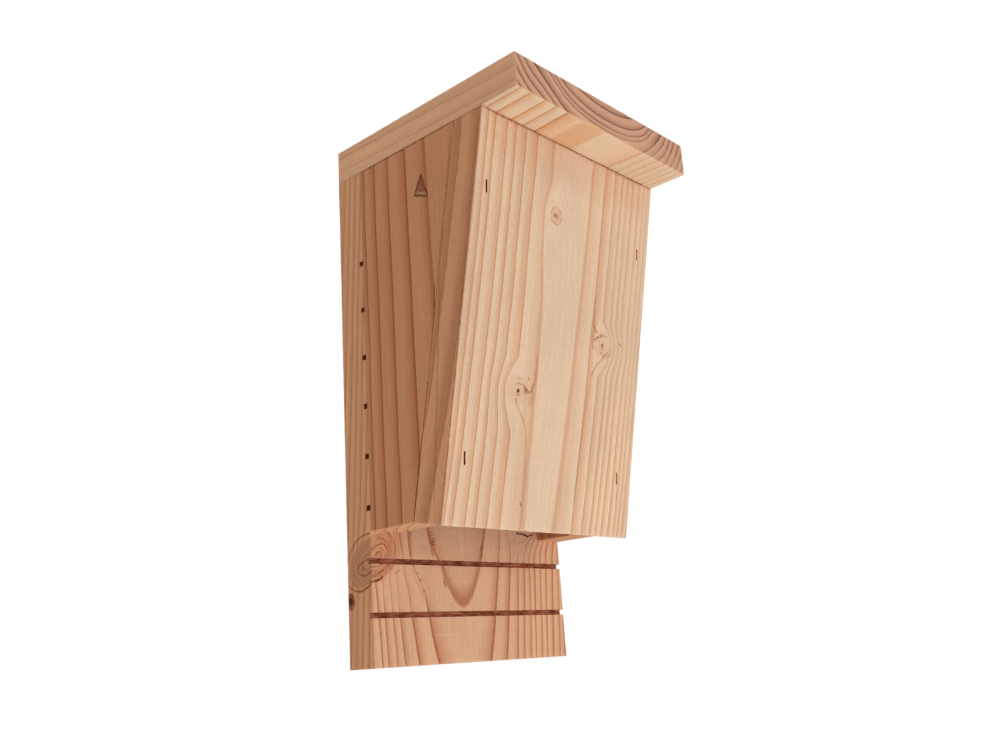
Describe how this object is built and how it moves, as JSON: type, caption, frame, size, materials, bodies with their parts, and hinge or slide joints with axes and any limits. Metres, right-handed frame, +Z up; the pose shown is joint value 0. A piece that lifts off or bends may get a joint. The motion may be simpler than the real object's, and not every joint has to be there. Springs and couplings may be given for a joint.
{
  "type": "bat box",
  "caption": "Wall-hung wooden bat box: kerfed back board with a landing below, tapered side panels, a front board leaning out over an open slot, and a flat overhanging roof.",
  "frame": {"origin": "centre of the back board's rear face, which lies against the wall", "axes": "+X right as seen from the front, +Y into the wall, +Z up; the box faces -Y"},
  "size_m": [0.166, 0.1543, 0.3215],
  "materials": {
    "back_board_softwood": "planed softwood, orange-tan, with dark sawn kerfs",
    "side_panel_softwood": "planed softwood, reddish tan with wide growth rings",
    "front_board_softwood": "planed softwood, pale tan with fine growth lines and small knots",
    "roof_board_softwood": "planed softwood with sawn end grain at the front",
    "staple_steel": "dull galvanised wire"
  },
  "bodies": {
    "root": {"back_board": "back_board_softwood", "left_side_panel": "side_panel_softwood", "right_side_panel": "side_panel_softwood", "front_board": "front_board_softwood", "roof_board": "roof_board_softwood", "front_staple_upper_left": "staple_steel", "front_staple_upper_right": "staple_steel", "front_staple_lower_left": "staple_steel", "front_staple_lower_right": "staple_steel", "back_staple_left_1": "staple_steel", "back_staple_left_2": "staple_steel", "back_staple_left_3": "staple_steel", "back_staple_right_1": "staple_steel", "back_staple_right_2": "staple_steel", "back_staple_right_3": "staple_steel", "roof_staple_left_rear": "staple_steel", "roof_staple_left_front": "staple_steel", "roof_staple_left_middle": "staple_steel", "roof_staple_right_rear": "staple_steel", "roof_staple_right_front": "staple_steel", "roof_staple_right_middle": "staple_steel"}
  },
  "joints": []
}
